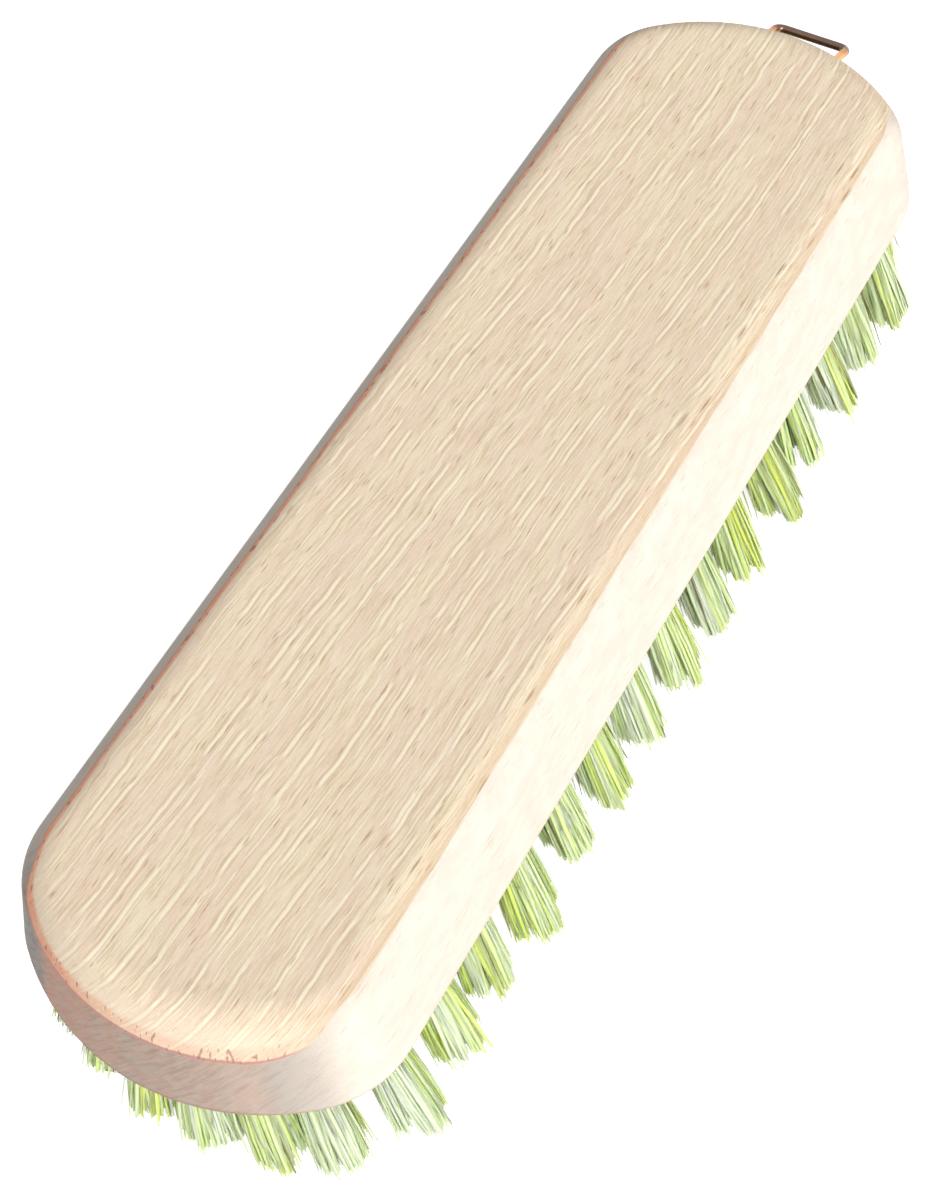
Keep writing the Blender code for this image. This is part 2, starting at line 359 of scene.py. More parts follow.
def add_node(tree, kind, sockets, **settings):
    node = tree.nodes.new("ShaderNode" + kind)
    for name, value in settings.items():
        setattr(node, name, value)
    for name, value in sockets.items():
        feed(tree, node.inputs[name], value)
    return node


def noise_at(tree, place, detail=2.0, roughness=0.5):
    sockets = {"Vector": place, "Scale": 1.0, "Detail": detail, "Roughness": roughness}
    return add_node(tree, "TexNoise", sockets).outputs["Fac"]


def sized(tree, place, size):
    """Scales a place so that one unit of pattern has this size, given along X, Y and Z."""
    scale = tuple(1.0 / length for length in size)
    return add_node(tree, "Mapping", {"Vector": place, "Scale": scale}).outputs["Vector"]


def parts_of(tree, vector):
    """The X, Y and Z of a place or direction, by name."""
    return add_node(tree, "SeparateXYZ", {0: vector}).outputs


def new_material(name):
    material = bpy.data.materials.new(name)
    material.use_nodes = True
    tree = material.node_tree
    return material, tree, tree.nodes["Principled BSDF"]


def show_material(piece, material):
    piece.data.materials.clear()
    piece.data.materials.append(material)
    print(f"{piece.name}: {material.name} with {len(material.node_tree.nodes)} nodes")


# %% [markdown]
# Helpers for weights and colours
#
# Most of a material is one sentence said many times: where this pattern is strong, mix in a share of that
# colour. So each pattern becomes a weight from 0 to 1, and a tint is one line.

# %% Turn patterns into weights and mix colours
def maths(tree, operation, first, second=0.0):
    return add_node(tree, "Math", {0: first, 1: second}, operation=operation).outputs[0]


def weighed(tree, value, weight):
    return maths(tree, "MULTIPLY", value, weight)


def ranged(tree, value, **limits):
    """The value moved from one range of numbers to another, with straight slopes."""
    sockets = {"Value": value}
    for name, limit in limits.items():
        sockets[name.replace("_", " ").title()] = limit
    return add_node(tree, "MapRange", sockets).outputs["Result"]


def step_between(tree, value, low, high):
    """0 where value is at low and 1 where it is at high, with a smooth slope between."""
    sockets = {"Value": value, "From Min": low, "From Max": high}
    return add_node(tree, "MapRange", sockets, interpolation_type="SMOOTHSTEP").outputs["Result"]


def band(tree, value, low, high, slope):
    """1 between low and high, falling to 0 over the slope on both sides."""
    rise = step_between(tree, value, low - slope, low)
    fall = step_between(tree, value, high + slope, high)
    return weighed(tree, rise, fall)


def mix_colours(tree, share, first, second, way="MIX"):
    sockets = {0: share, 6: first, 7: second}
    return add_node(tree, "Mix", sockets, data_type="RGBA", blend_type=way).outputs[2]


def tint(tree, colour, tone, value, low, high, share=1.0):
    """Mixes in the tone: none of it where value is at low, and its whole share where value is at high."""
    return mix_colours(tree, weighed(tree, step_between(tree, value, low, high), share), colour, tone)


# %% [markdown]
# Grain in space
#
# Beech is a plain wood with three marks of its own: fine lines along the grain, short brown dashes where the
# rays are cut across, and pale threads that run in little steps. All of them are laid out in space and not
# on a surface, in a frame turned to the growth of this plank, so that the dashes on the top become flecks on
# the side and slanting lines on the end, as in real timber. The grain sways before it is stretched.

# %% Turn space to the growth of the plank
GROWTH_TILT = math.radians(-38.5)
GRAIN_SLANT = math.radians(2.8)
SWAY_SIZE = (55 * MM, 30 * MM, 30 * MM)
SWAY_REACH = 3.0 * MM
STEP_SIZE = (4 * MM, 4 * MM, 4 * MM)
STEP_REACH = 0.42 * MM


def turned(tree, place, rotation):
    return add_node(tree, "Mapping", {"Vector": place, "Rotation": rotation}).outputs["Vector"]


def swayed(tree, grain, place, size, reach):
    """Shifts the grain softly to and fro across itself, by up to this reach, over a pattern of this size."""
    noise = noise_at(tree, sized(tree, place, size), detail=1.0)
    amount = weighed(tree, maths(tree, "SUBTRACT", noise, 0.5), reach)
    offset = add_node(tree, "CombineXYZ", {"Y": amount}).outputs[0]
    return add_node(tree, "VectorMath", {0: grain, 1: offset}, operation="ADD").outputs[0]


def grain_places(tree, place):
    """The object's place turned to the growth lines, with a slow sway, and with little steps as well."""
    grain = turned(tree, turned(tree, place, (0.0, 0.0, GRAIN_SLANT)), (GROWTH_TILT, 0.0, 0.0))
    straight = swayed(tree, grain, place, SWAY_SIZE, SWAY_REACH)
    return straight, swayed(tree, straight, place, STEP_SIZE, STEP_REACH)


# %% [markdown]
# Dashes and threads
#
# A dash is the middle of a stretched cell, so a cell pattern scatters them evenly, and only a share of the
# cells is used. A thread is long, so it is a cell pattern in one direction only: across the grain. Noise
# breaks each thread into lengths of its own, and a thin dark line runs along both its sides.

# %% Scatter dashes and threads
DASH_RIM = 0.26
DASH_MIDDLE = 0.08
THREAD_RIM = 0.09
THREAD_MIDDLE = 0.03
THREAD_SHOWS = (0.42, 0.54)
THREAD_NUMBERS = 40.0


def dashes(tree, grain, size, share):
    """Short thin marks: the nearest points of a stretched cell pattern, in a share of its cells only."""
    cells = add_node(tree, "TexVoronoi", {"Vector": sized(tree, grain, size), "Scale": 1.0})
    chosen = add_node(tree, "SeparateColor", {0: cells.outputs["Color"]}).outputs[0]
    mark = step_between(tree, cells.outputs["Distance"], DASH_RIM, DASH_MIDDLE)
    return weighed(tree, mark, step_between(tree, chosen, 1.0 - share, 1.06 - share))


def pale_threads(tree, place, grain, spacing, length):
    """Long pale threads at uneven distances across the grain, and the thin dark lines beside them."""
    across = maths(tree, "DIVIDE", parts_of(tree, grain)["Y"], spacing)
    lines = add_node(tree, "TexVoronoi", {"W": across, "Scale": 1.0}, voronoi_dimensions="1D")
    thread = step_between(tree, lines.outputs["Distance"], THREAD_RIM, THREAD_MIDDLE)
    beside = band(tree, lines.outputs["Distance"], 0.12, 0.16, 0.04)
    own = add_node(tree, "SeparateColor", {0: lines.outputs["Color"]}).outputs[1]
    along = maths(tree, "DIVIDE", parts_of(tree, place)["X"], length)
    run = add_node(tree, "CombineXYZ", {"X": along, "Y": weighed(tree, own, THREAD_NUMBERS)}).outputs[0]
    shown = step_between(tree, noise_at(tree, run, detail=1.0), *THREAD_SHOWS)
    return weighed(tree, thread, shown), weighed(tree, beside, shown)


def all_threads(tree, place, stepped):
    """Strong threads with fainter and shorter ones between them, and the lines beside both."""
    thread, beside = pale_threads(tree, place, stepped, spacing=2.2 * MM, length=8 * MM)
    faint_thread, faint_beside = pale_threads(tree, place, stepped, spacing=1.3 * MM, length=5 * MM)
    thread = maths(tree, "MAXIMUM", thread, weighed(tree, faint_thread, 0.6))
    return thread, maths(tree, "MAXIMUM", beside, weighed(tree, faint_beside, 0.6))


# %% [markdown]
# Patterns of the wood
#
# Each pattern is noise stretched along the grain: broad bands, streaks, fine lines and hairs on the flat
# grain, and close lines on the ends. Mottle, marks and specks aren't stretched much, and stand for ray
# blotches, bruises and dust. They are made once, by name, because colour, gloss and relief share them.

# %% Stretch noise along the grain
def wood_patterns(tree, place, straight, stepped):
    sizes = {
        "broad": (straight, (26 * MM, 2.6 * MM, 9 * MM), 3.0, 0.5),
        "streaks": (stepped, (9 * MM, 0.5 * MM, 3 * MM), 3.0, 0.6),
        "fine": (stepped, (2.6 * MM, 0.16 * MM, 0.9 * MM), 2.0, 0.6),
        "hairs": (stepped, (7 * MM, 0.13 * MM, 1.5 * MM), 1.0, 0.5),
        "lined": (straight, (30 * MM, 0.5 * MM, 4 * MM), 3.0, 0.65),
        "mottle": (place, (4 * MM, 2 * MM, 2 * MM), 4.0, 0.65),
        "marks": (place, (1.3 * MM, 0.42 * MM, 1.3 * MM), 1.0, 0.5),
        "specks": (place, (0.35 * MM, 0.25 * MM, 0.25 * MM), 1.0, 0.5),
    }
    return {
        name: noise_at(tree, sized(tree, grain, size), detail, roughness)
        for name, (grain, size, detail, roughness) in sizes.items()
    }


# %% [markdown]
# Which face is which
#
# The plane that finished the top left a crisp line where the round-over turns down: high up along the sides
# and low down at the ends. The direction that the surface faces tells these places apart, so the line needs
# no edge in the mesh, and it stays in its place at any angle of view. It also tells which faces are turned
# from the lamp, and so where painted light and painted shade go further on.

# %% Tell top, sides, ends and rims apart
SIDE_LIMIT = 0.866
END_LIMIT = 0.25
RAGGED = 0.05
SHARP = 0.012


def block_faces(tree, normal, streaks):
    """Weights for the block's places, by name, and rise, the height over the plane's line from 0 to 1."""
    facing = parts_of(tree, normal)
    across = maths(tree, "ABSOLUTE", facing["Y"])
    lengthwise = maths(tree, "SUBTRACT", maths(tree, "ABSOLUTE", facing["X"]), across)
    endward = step_between(tree, lengthwise, -0.35, 0.45)
    # Painted shade: faces towards the left count partly as end, so the near left corner, in shade, takes the
    # darker end colours.
    left_corner_shade = weighed(tree, step_between(tree, facing["Y"], 0.0, 0.4), 0.6)
    limit = ranged(tree, endward, to_min=SIDE_LIMIT, to_max=END_LIMIT)
    height = maths(tree, "SUBTRACT", facing["Z"], limit)
    ragged = weighed(tree, maths(tree, "SUBTRACT", streaks, 0.5), RAGGED)
    height = maths(tree, "ADD", height, ragged)
    # Painted light and shade go on the faces turned from the lamp, which shines from the near right; they are
    # picked here by direction.
    turned_from_lamp = maths(tree, "SUBTRACT", weighed(tree, facing["Y"], 0.9), facing["X"])
    shaded_side = step_between(tree, turned_from_lamp, 0.05, 0.35)
    long_side = maths(tree, "SUBTRACT", 1.0, maths(tree, "MAXIMUM", endward, shaded_side))
    return {
        "top": step_between(tree, height, -SHARP, SHARP),
        # The end weight also holds the left corner's painted shade.
        "end": step_between(tree, maths(tree, "ADD", lengthwise, left_corner_shade), -0.6, 0.9),
        "endward": endward,
        "shaded_side": shaded_side,
        # Left-facing places, furthest in shade, where the painted orange is strongest.
        "left": ranged(tree, facing["Y"], from_max=0.4, to_min=0.35, to_max=1.0),
        "rim": weighed(tree, step_between(tree, facing["Z"], 0.99, 0.88), long_side),
        "not_under": step_between(tree, facing["Z"], -0.95, -0.6),
        "rise": maths(tree, "DIVIDE", height, maths(tree, "SUBTRACT", 1.0, limit)),
    }


# %% [markdown]
# Colours of the faces
#
# The colour follows the cut: the top is the beige of the flat grain, the sides are paler and a little pink,
# and the ends are greyer and closely lined. The end colours are also painted darker for the shade that falls
# on the ends, and the near left corner takes them as painted shade.

# %% Colour the top, the sides and the ends
TOP_BEIGE = screen_colour(233, 216, 188)
TOP_ROSE = screen_colour(230, 208, 186)
TOP_TAN = screen_colour(206, 182, 148)
CREAM = screen_colour(243, 232, 204)
PALE_THREAD = screen_colour(250, 241, 216)
RIM_TAN = screen_colour(190, 162, 130)
SIDE_PALE = screen_colour(228, 219, 205)
SIDE_ROSE = screen_colour(226, 211, 197)
# End grain colours, partly painted shade: darker and greyer than the end grain is.
END_GREY_AND_SHADE = screen_colour(146, 139, 131)
END_ROSE_AND_SHADE = screen_colour(143, 128, 120)
END_LINE_AND_SHADE = screen_colour(104, 97, 93)


def top_colour(tree, patterns, thread, beside, rim):
    colour = tint(tree, TOP_ROSE, TOP_BEIGE, patterns["broad"], 0.38, 0.62)
    colour = tint(tree, colour, CREAM, patterns["streaks"], 0.50, 0.70, share=0.4)
    colour = tint(tree, colour, TOP_TAN, patterns["streaks"], 0.48, 0.30, share=0.3)
    colour = tint(tree, colour, TOP_TAN, patterns["fine"], 0.48, 0.32, share=0.6)
    colour = tint(tree, colour, CREAM, patterns["fine"], 0.56, 0.70, share=0.4)
    colour = tint(tree, colour, TOP_TAN, patterns["hairs"], 0.44, 0.30, share=0.8)
    colour = tint(tree, colour, TOP_ROSE, patterns["mottle"], 0.50, 0.66, share=0.5)
    colour = mix_colours(tree, weighed(tree, beside, 0.6), colour, TOP_TAN)
    colour = mix_colours(tree, weighed(tree, thread, 0.74), colour, PALE_THREAD)
    return mix_colours(tree, weighed(tree, rim, 0.5), colour, RIM_TAN)


def side_colour(tree, patterns, end):
    side = tint(tree, SIDE_ROSE, SIDE_PALE, patterns["mottle"], 0.40, 0.62)
    end_grain_and_shade = tint(tree, END_GREY_AND_SHADE, END_ROSE_AND_SHADE, patterns["mottle"], 0.42, 0.64)
    end_grain_and_shade = tint(tree, end_grain_and_shade, END_LINE_AND_SHADE, patterns["lined"], 0.56, 0.36, share=0.6)
    return mix_colours(tree, end, side, end_grain_and_shade)


# %% [markdown]
# Wear, and painted light and shade on the rounded edge
#
# Brown dashes lie all over the top, and larger ones in a strip near one edge, where the knife met the grain.
# Along the plane's line, on the faces turned from the lamp, painted light makes the wood pale, a painted
# orange marks where light turns to shade, and a rosy line of painted shade follows, with a few plum flecks,
# most of all on the left. The sanded edge round the underside is a little scorched.

# %% Add dashes, painted edge light and shade, and specks
DASH_BROWN = screen_colour(178, 144, 108)
WORN_BROWN = screen_colour(158, 126, 94)
# Painted light and painted shade colours for the round-over turned from the lamp.
PAINTED_LIGHT_PALE = screen_colour(226, 208, 184)
TERMINATOR_ORANGE = screen_colour(226, 142, 106)
SHADE_LINE_ROSE = screen_colour(182, 124, 114)
FLECK_PLUM = screen_colour(128, 92, 84)
LOWER_EDGE = screen_colour(178, 118, 96)
WORN_STRIP = (-21.2 * MM, -18.0 * MM)
SCORCHED = (UNDERSIDE + 0.9 * MM, UNDERSIDE + 0.3 * MM)


def add_dashes(tree, colour, across, dash, straight, top):
    shown = ranged(tree, top, to_min=0.35, to_max=0.72)
    colour = mix_colours(tree, weighed(tree, dash, shown), colour, DASH_BROWN)
    worn = dashes(tree, straight, (8 * MM, 0.8 * MM, 3 * MM), 0.85)
    worn = weighed(tree, worn, band(tree, across, *WORN_STRIP, 1.2 * MM))
    return mix_colours(tree, weighed(tree, worn, weighed(tree, top, 0.75)), colour, WORN_BROWN)


def paint_edge_light_and_shade(tree, colour, patterns, faces):
    """Painted light and shade on the round-over of the faces turned from the lamp: every colour there is a
    band of the rise.
    """
    shaded_side, rise = faces["shaded_side"], faces["rise"]
    # Painted light: the round-over is made paler where it turns into shade.
    pale = weighed(tree, band(tree, rise, 0.02, 0.75, 0.14), shaded_side)
    colour = mix_colours(tree, weighed(tree, pale, 0.5), colour, PAINTED_LIGHT_PALE)
    patchy = ranged(tree, patterns["mottle"], to_min=0.1, to_max=1.3)
    # Painted orange where light turns to shade, patchy and strongest on the left.
    terminator_band = weighed(tree, band(tree, rise, 0.05, 0.30, 0.22), shaded_side)
    terminator_band = weighed(tree, terminator_band, weighed(tree, patchy, faces["left"]))
    colour = mix_colours(tree, terminator_band, colour, TERMINATOR_ORANGE)
    # Painted shade: a rosy line along the plane's line on the shaded side.
    line = weighed(tree, band(tree, rise, -0.03, 0.03, 0.03), shaded_side)
    colour = mix_colours(tree, weighed(tree, line, 0.75), colour, SHADE_LINE_ROSE)
    # Plum flecks, only on the shaded side of the round-over.
    plum_flecks = weighed(tree, band(tree, rise, 0.0, 0.38, 0.06), shaded_side)
    plum_flecks = weighed(tree, plum_flecks, step_between(tree, patterns["marks"], 0.60, 0.67))
    return mix_colours(tree, weighed(tree, plum_flecks, 0.6), colour, FLECK_PLUM)


def scorch_and_speckle(tree, colour, height, patterns, faces):
    lower = weighed(tree, step_between(tree, height, *SCORCHED), faces["not_under"])
    shown = ranged(tree, faces["endward"], to_min=0.25, to_max=0.75)
    colour = mix_colours(tree, weighed(tree, lower, shown), colour, LOWER_EDGE)
    grey = ranged(tree, patterns["specks"], to_min=0.93, to_max=1.07)
    grey = add_node(tree, "CombineColor", {0: grey, 1: grey, 2: grey}).outputs[0]
    return mix_colours(tree, 1.0, colour, grey, "MULTIPLY")


# %% [markdown]
# Beech
#
# The parts come together in the order in which they lie on the wood. The block is sanded and bare, so its
# gloss is low and a little uneven, fine lines and threads stand up, and dashes are sunk.

# %% Put the beech together
BEECH_GLOSS = 0.25
RELIEF = 0.3
RELIEF_DEPTH = 0.05 * MM


def beech():
    material, tree, shader = new_material("beech")
    coordinates = add_node(tree, "TexCoord", {}).outputs
    place = coordinates["Object"]
    where = parts_of(tree, place)
    straight, stepped = grain_places(tree, place)
    patterns = wood_patterns(tree, place, straight, stepped)
    faces = block_faces(tree, coordinates["Normal"], patterns["streaks"])
    thread, beside = all_threads(tree, place, stepped)
    small = dashes(tree, stepped, (4 * MM, 0.34 * MM, 2 * MM), 0.42)
    long = dashes(tree, straight, (8 * MM, 0.42 * MM, 5 * MM), 0.20)
    dash = maths(tree, "MAXIMUM", small, long)

    flat = top_colour(tree, patterns, thread, beside, faces["rim"])
    # The ends and the near left corner carry painted shade in their colours.
    colour = mix_colours(tree, faces["top"], side_colour(tree, patterns, faces["end"]), flat)
    colour = add_dashes(tree, colour, where["Y"], dash, straight, faces["top"])
    # Painted light and shade on the round-over turned from the lamp.
    colour = paint_edge_light_and_shade(tree, colour, patterns, faces)
    colour = scorch_and_speckle(tree, colour, where["Z"], patterns, faces)
    feed(tree, shader.inputs["Base Color"], colour)

    feed(tree, shader.inputs["Roughness"], ranged(tree, patterns["streaks"], to_min=0.55, to_max=0.7))
    shader.inputs["Specular IOR Level"].default_value = BEECH_GLOSS
    relief = maths(tree, "ADD", weighed(tree, patterns["fine"], 0.6), weighed(tree, thread, 0.5))
    relief = maths(tree, "SUBTRACT", relief, dash)
    bump = add_node(tree, "Bump", {"Height": relief, "Strength": RELIEF, "Distance": RELIEF_DEPTH})
    feed(tree, shader.inputs["Normal"], bump.outputs["Normal"])
    return material


show_material(block, beech())
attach(block, "root")
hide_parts("wooden_block")

# %% [markdown]
# The hanging loop
#
# The loop is one length of round wire, bent twice on a jig and driven into two holes. A round section is
# pushed along the same way: extrude for the straight lengths, spin for the bends. Its ends stay in the wood.

# %% Bend the wire
BEND_RADIUS = 0.0013
BEND_STEPS = 10
WIRE_SMOOTH = math.radians(40)


def bent_wire():
    """The wire is bent flat about its own frame, then put in its place at a slant."""
    start_fresh()
    bpy.ops.mesh.primitive_circle_add(
        vertices=WIRE_SIDES,
        radius=WIRE_RADIUS,
        fill_type="NGON",
        location=(-LEG_DEPTH, LEG_SIDE, 0.0),
        rotation=(0.0, math.pi / 2, 0.0),
    )
    wire = bpy.context.object
    settle(wire, "wire_loop")
    bpy.ops.object.mode_set(mode="EDIT")
    bpy.ops.mesh.select_all(action="SELECT")
    reach = LOOP_REACH - BEND_RADIUS
    side = LEG_SIDE - BEND_RADIUS
    for run, bend in (((reach + LEG_DEPTH, 0.0, 0.0), side), ((0.0, -2 * side, 0.0), -side)):
        bpy.ops.mesh.extrude_region_move(TRANSFORM_OT_translate={"value": run})
        bpy.ops.mesh.spin(
            steps=BEND_STEPS, angle=math.pi / 2, center=(reach, bend, 0.0), axis=(0.0, 0.0, 1.0), dupli=False
        )
    bpy.ops.mesh.extrude_region_move(TRANSFORM_OT_translate={"value": (-reach - LEG_DEPTH, 0.0, 0.0)})
    bpy.ops.mesh.select_all(action="SELECT")
    bpy.ops.mesh.remove_doubles(threshold=1e-7)
    bpy.ops.mesh.normals_make_consistent(inside=False)
    bpy.ops.object.mode_set(mode="OBJECT")
    bpy.ops.object.shade_smooth_by_angle(angle=WIRE_SMOOTH)
    wire.matrix_world = WIRE_FRAME
    settle(wire, "wire_loop")
    return wire


wire = bent_wire()

# %% [markdown]
# Copper wire
#
# Near the wood the wire is bright and golden. The bar is painted dark and brown, as a painted reflection of
# dark surroundings, with patches of tarnish all along. Fine marks from the drawing die run along it.

# %% Copper with a painted dark reflection on the bar
COPPER = screen_colour(232, 168, 104)
# Painted reflection colour for the bar.
COPPER_DARK_REFLECTION = screen_colour(120, 96, 84)
TARNISH = screen_colour(88, 74, 68)
DIE_MARKS = 0.25
DIE_DEPTH = 0.03 * MM


def copper():
    material, tree, shader = new_material("copper")
    place = add_node(tree, "TexCoord", {}).outputs["Object"]
    along = parts_of(tree, place)["X"]
    patches = noise_at(tree, sized(tree, place, (2.5 * MM, 2.5 * MM, 1.5 * MM)), detail=4.0, roughness=0.6)
    spread = maths(tree, "ADD", along, weighed(tree, patches, 3 * MM))
    bar = WIRE_MOUTH.x + LOOP_REACH * math.cos(LOOP_DROOP)
    # Painted reflection: the bar is coloured dark and brown, as the dark that a metal bar reflects.
    colour = tint(tree, COPPER, COPPER_DARK_REFLECTION, spread, bar - 1.8 * MM, bar + 1.2 * MM)
    colour = tint(tree, colour, TARNISH, patches, 0.58, 0.70, share=0.7)
    feed(tree, shader.inputs["Base Color"], colour)
    shader.inputs["Metallic"].default_value = 1.0
    feed(tree, shader.inputs["Roughness"], ranged(tree, patches, to_min=0.22, to_max=0.48))
    marks = noise_at(tree, sized(tree, place, (3 * MM, 0.12 * MM, 0.12 * MM)), detail=2.0)
    bump = add_node(tree, "Bump", {"Height": marks, "Strength": DIE_MARKS, "Distance": DIE_DEPTH})
    feed(tree, shader.inputs["Normal"], bump.outputs["Normal"])
    return material


show_material(wire, copper())
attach(wire, "root")
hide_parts("hanging_loop")

# %% [markdown]
# One fibre
#
# The bristles are a stiff plant fibre, flat like straw and less than half a millimetre wide. There are tens
# of thousands, so one fibre is modelled with as few faces as it can have: a three-sided rod cut across twice,
# so that it can bend, and narrowed towards its tip.

# %% Model one fibre, one unit long
FIBRE_CUTS = (1 / 3, 2 / 3)
TIP_SHARE = 0.6


def one_fibre():
    start_fresh()
    bpy.ops.mesh.primitive_cylinder_add(vertices=3, radius=1.0, depth=1.0, location=(0.0, 0.0, 0.5))
    fibre = bpy.context.object
    settle(fibre, "fibre")
    bpy.ops.object.mode_set(mode="EDIT")
    for cut in FIBRE_CUTS:
        bpy.ops.mesh.select_all(action="SELECT")
        bpy.ops.mesh.bisect(plane_co=(0.0, 0.0, cut), plane_no=(0.0, 0.0, 1.0))
    pick_edges(fibre, lambda place: place.z > 0.9)
    bpy.ops.transform.resize(value=(TIP_SHARE, TIP_SHARE, 1.0))
    bpy.ops.mesh.select_all(action="SELECT")
    bpy.ops.mesh.quads_convert_to_tris()
    start_fresh()
    return fibre


fibre = one_fibre()

# %% [markdown]
# A map for the fibres
#
# A texture painted from these materials needs room for each fibre. The rod's own map is a strip for its three
# sides and two discs for its ends. The discs are squeezed, and every fibre gets its own tall cell of the map.

# %% Give every fibre its own cell
CELL_SHAPE = 7.0
CELL_GAP = 0.05
DISC_ROOM = 0.18
STRIP_START = 0.1
MAP_HALF = 0.499


def lay_map(mesh, fibres):
    own = np.zeros(2 * len(fibre.data.loops), np.float32)
    fibre.data.uv_layers.active.data.foreach_get("uv", own)
    own = own.reshape(-1, 2)
    strip = STRIP_START + (1 - STRIP_START) * (own[:, 1] - 0.5) * 2
    own[:, 1] = np.where(own[:, 1] > MAP_HALF, strip, DISC_ROOM * own[:, 1])
    columns = math.ceil(math.sqrt(fibres * CELL_SHAPE))
    lines = math.ceil(fibres / columns)
    number = np.arange(fibres)
    corner = np.stack([number % columns, number // columns], axis=1)[:, None]
    places = (corner + CELL_GAP + (1 - 2 * CELL_GAP) * own[None]) / np.array([columns, lines])
    layer = mesh.uv_layers.new(name="OFBake")
    layer.data.foreach_set("uv", places.astype(np.float32).ravel())


# %% [markdown]
# Combing the tufts
#
# A tuft is hundreds of fibres. They leave the hole packed in a round bundle, bend outwards and end at the
# trim. They don't spread evenly: they stick in small locks, some are a little short, and a few go astray.
# No one combs fifty thousand fibres by hand, so each row is laid out by numbers: for every fibre a root, a
# point that bends it, and a tip.

# %% Gather the fibres in locks and trim them
LOCKS = 11
LOCK_PLACES = (0.1, 0.95)
GATHERING = 0.45
SHORT_SHARE = 0.10
SHORT = 0.10
UNEVEN = 0.03
LOCK_SHORT = 0.08
MOST_SHORT = 0.3


def gather(disc, tuft, tufts, chance):
    """Draws the fibres of each tuft towards the middles of its locks, and says which lock each is in."""
    angle = chance.uniform(0.0, 2 * math.pi, (tufts, LOCKS))
    reach = np.sqrt(chance.uniform(*LOCK_PLACES, (tufts, LOCKS)))
    middles = np.stack([reach * np.cos(angle), reach * np.sin(angle), 0 * reach], axis=2)[tuft]
    lock = np.linalg.norm(middles - disc[:, None], axis=2).argmin(axis=1)
    return disc + GATHERING * (middles[np.arange(len(disc)), lock] - disc), lock


def trim(start, tip, tuft, lock, tufts, chance):
    """Draws each tip back along its fibre: most a little, some more, and each lock by its own amount."""
    short = np.where(chance.random(len(tip)) < SHORT_SHARE, SHORT, UNEVEN)
    short = np.abs(chance.normal(0.0, 1.0, len(tip))) * short
    short += chance.uniform(0.0, LOCK_SHORT, (tufts, LOCKS))[tuft, lock]
    return tip + (start - tip) * np.minimum(short, MOST_SHORT)[:, None]


# %% Lay out the fibres of a row
ROOT_RADIUS = 0.0021
ROOT_DEPTH = 0.0012
TIP_RADIUS = 0.0038
TIP_HEIGHT = 0.0001
TIP_LIMIT = 0.0290
TUFT_SIZES = (0.92, 1.08)
TUFT_LEAN = 0.00035
STRAY_SHARE = 0.05
STRAY = 0.0016
SCATTER = 0.00032
MOST_SCATTER = 0.0013
BOW = 0.0003
FULLNESS = 0.0005
CROWDING = 0.55
GOLDEN_TURN = math.pi * (3 - math.sqrt(5))


def in_plan(values):
    """Gives places in plan a height of nothing."""
    return np.pad(values, ((0, 0), (0, 1)))


def fibre_curves(roots, count, chance):
    """For every fibre of a row: its root, bend and tip, its place in its tuft and its lock's tone."""
    tufts = len(roots)
    tuft = np.repeat(np.arange(tufts), count)
    step = np.tile(np.arange(count), tufts)
    mouths = np.array([tuft_axis(root)[0] for root in roots])[tuft]
    ups = np.array([tuft_axis(root)[1] for root in roots])[tuft]
    trims = np.array([tip_centre(root) for root in roots])[tuft]
    angle = step * GOLDEN_TURN + chance.uniform(0.0, 2 * math.pi, tufts)[tuft]
    reach = ((step + 0.5) / count) ** CROWDING
    disc = np.stack([reach * np.cos(angle), reach * np.sin(angle), 0 * reach], axis=1)
    gathered, lock = gather(disc, tuft, tufts, chance)
    lock_tone = chance.random((tufts, LOCKS))[tuft, lock]

    start = mouths + ups * ROOT_DEPTH + disc * ROOT_RADIUS
    size = chance.uniform(*TUFT_SIZES, tufts)[tuft, None]
    lean = in_plan(chance.normal(0.0, TUFT_LEAN, (tufts, 2)))[tuft]
    stray = np.where(chance.random(len(step)) < STRAY_SHARE, STRAY, SCATTER)[:, None]
    scatter = in_plan(chance.normal(0.0, 1.0, (len(step), 2))) * stray
    tip = trims + gathered * TIP_RADIUS * size + lean + np.clip(scatter, -MOST_SCATTER, MOST_SCATTER)
    tip[:, 1] = np.clip(tip[:, 1], -TIP_LIMIT, TIP_LIMIT)
    tip[:, 2] = TIP_HEIGHT
    tip = trim(start, tip, tuft, lock, tufts, chance)
    bow = in_plan(chance.normal(0.0, BOW, (len(step), 2)))
    bend = (start + tip) / 2 + bow + disc * FULLNESS
    return start, bend, tip, disc, lock_tone


# %% [markdown]
# Copying the fibre
#
# The modelled fibre is copied along each curve, with its flat side turned out of its tuft, because bristles
# that lie flat against each other look like one soft bundle. Each copy keeps how far along it a point lies
# and a tone of its own, partly its lock's, which the material reads.

# %% Copy the fibre along the curves of a row
FIBRE_RADIUS = 0.00013
FIBRE_SIZES = (0.75, 1.2)
FIBRE_WIDTH = 1.8
FIBRE_DEPTH = 0.6
TURNING = 0.2
LOCK_SHARE = 0.6
DARK_SHARE = 0.02
DARK_TONE = 1.2


def unit(vectors):
    return vectors / np.linalg.norm(vectors, axis=-1, keepdims=True)


def mark_points(mesh, name, values):
    mark = mesh.attributes.new(name, "FLOAT", "POINT")
    mark.data.foreach_set("value", np.ascontiguousarray(values, dtype=np.float32).ravel())


